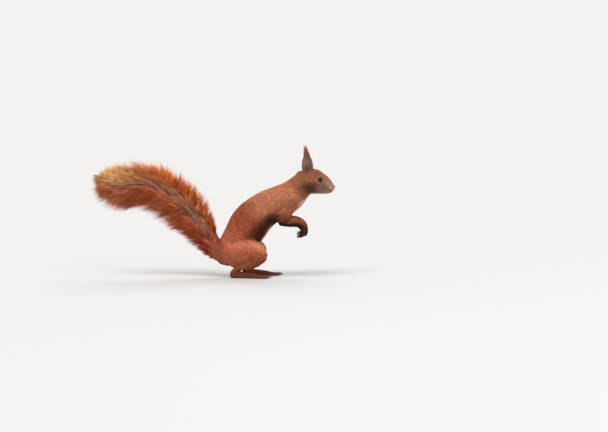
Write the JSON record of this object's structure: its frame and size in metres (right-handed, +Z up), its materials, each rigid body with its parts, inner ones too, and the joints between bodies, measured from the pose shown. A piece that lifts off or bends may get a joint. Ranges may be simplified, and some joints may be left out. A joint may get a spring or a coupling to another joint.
{
  "type": "red squirrel",
  "caption": "Eurasian red squirrel, life size, upright on its hind feet with its hands hanging and its bushy tail arched behind it.",
  "frame": {"origin": "on the ground, below the middle of the animal's length and breadth", "axes": "+X the way the animal faces, +Y its left side, +Z up"},
  "size_m": [0.3648, 0.069, 0.1944],
  "materials": {
    "coat": "short dense orange-brown fur lying back along the body, whitish on chest and belly",
    "brush": "long soft hair combed out to both sides, bright orange above and dark red-brown below",
    "paw": "very short dark brown fur over bare pads",
    "eye": "wet gloss, nearly black",
    "nose": "bare damp skin, finely pebbled",
    "claw": "dark horn, smooth"
  },
  "bodies": {
    "root": {"belly": "coat", "chest": "coat", "ear_left": "coat", "ear_right": "coat", "eye_left": "eye", "eye_right": "eye", "foot_left": "paw", "foot_left_claw_1": "claw", "foot_left_claw_2": "claw", "foot_left_claw_3": "claw", "foot_left_claw_4": "claw", "foot_left_claw_5": "claw", "foot_right": "paw", "foot_right_claw_1": "claw", "foot_right_claw_2": "claw", "foot_right_claw_3": "claw", "foot_right_claw_4": "claw", "foot_right_claw_5": "claw", "forearm_left": "coat", "forearm_right": "coat", "hand_left": "paw", "hand_left_claw_1": "claw", "hand_left_claw_2": "claw", "hand_left_claw_3": "claw", "hand_left_claw_4": "claw", "hand_right": "paw", "hand_right_claw_1": "claw", "hand_right_claw_2": "claw", "hand_right_claw_3": "claw", "hand_right_claw_4": "claw", "head": "coat", "lower_jaw": "coat", "neck": "coat", "nose": "nose", "rump": "coat", "shank_left": "coat", "shank_right": "coat", "tail_base": "brush", "tail_middle": "brush", "tail_tip": "brush", "tail_upper": "brush", "thigh_left": "coat", "thigh_right": "coat", "upper_arm_left": "coat", "upper_arm_right": "coat"}
  },
  "joints": []
}
